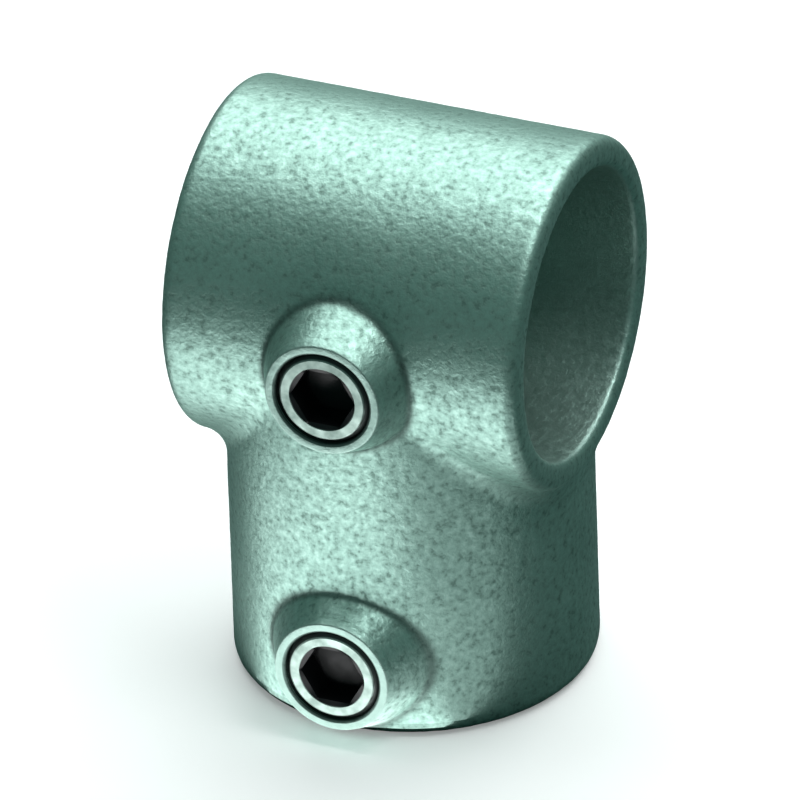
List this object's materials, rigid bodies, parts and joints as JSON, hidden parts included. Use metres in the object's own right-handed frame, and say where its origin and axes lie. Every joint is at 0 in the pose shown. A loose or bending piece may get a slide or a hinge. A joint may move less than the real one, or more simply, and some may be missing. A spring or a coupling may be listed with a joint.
{
  "type": "tube clamp tee fitting",
  "caption": "Cast tee fitting that clamps a round tube through its collar and the end of another tube in its socket at right angles, with hexagon socket set screws.",
  "frame": {"origin": "point where the axis of the run tube crosses the axis of the branch tube", "axes": "+X along the run tube through the collar, -Z along the branch tube out of the socket, -Y towards the heads of both set screws"},
  "size_m": [0.0636, 0.0666, 0.0997],
  "materials": {
    "galvanised_casting": "hot-dip galvanised sand casting, grey with a green tint, matt and slightly grainy",
    "screw_steel": "zinc-plated hardened steel, satin"
  },
  "bodies": {
    "casting": {"tee_casting": "galvanised_casting"},
    "upper_screw": {"upper_set_screw": "screw_steel"},
    "lower_screw": {"lower_set_screw": "screw_steel"}
  },
  "joints": [
    {"name": "upper_screw_travel", "type": "slide", "parent": "casting", "child": "upper_screw", "axis": [0, 1, 0], "range_m": [-0.0085, 0.0014]},
    {"name": "lower_screw_travel", "type": "slide", "parent": "casting", "child": "lower_screw", "axis": [0, 1, 0], "range_m": [-0.0085, 0.0014]}
  ]
}
